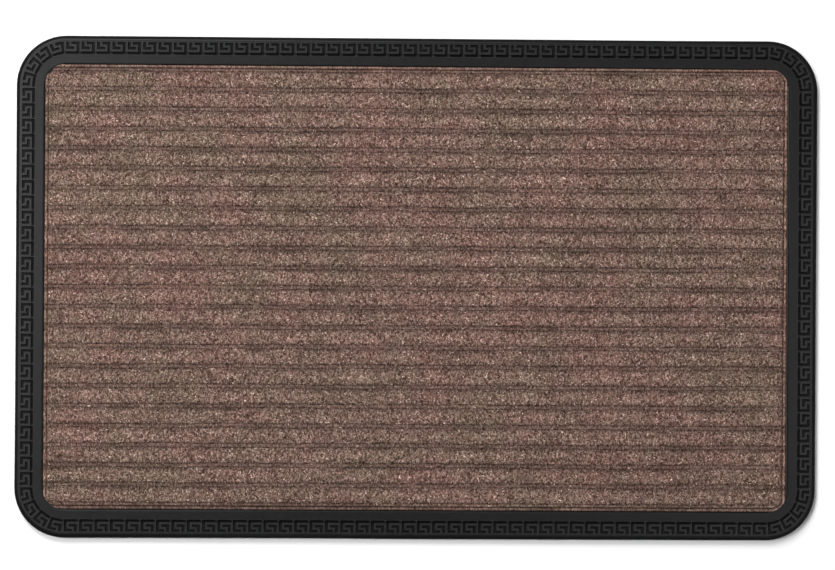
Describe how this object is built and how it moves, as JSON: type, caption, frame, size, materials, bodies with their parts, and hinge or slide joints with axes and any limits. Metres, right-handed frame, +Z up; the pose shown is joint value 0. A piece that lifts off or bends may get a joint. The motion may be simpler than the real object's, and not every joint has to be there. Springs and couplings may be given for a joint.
{
  "type": "door mat",
  "caption": "Rectangular door mat: a low moulded rubber tray with rounded corners and a Greek-key border round a ribbed needle-felt carpet insert.",
  "frame": {"origin": "middle of the mat's underside, on the floor", "axes": "+X along the long side, +Y along the short side, +Z up out of the walking face"},
  "size_m": [0.8, 0.5, 0.009],
  "materials": {
    "rubber": "satin moulded black rubber",
    "adhesive": "cured contact adhesive film",
    "backing": "matt latex coating",
    "carpet": "brown needle-punched felt with pinkish and olive flecks, ribbed"
  },
  "bodies": {
    "root": {"rubber_base": "rubber", "bonding_layer": "adhesive", "carpet_backing": "backing", "ribbed_carpet": "carpet"}
  },
  "joints": []
}
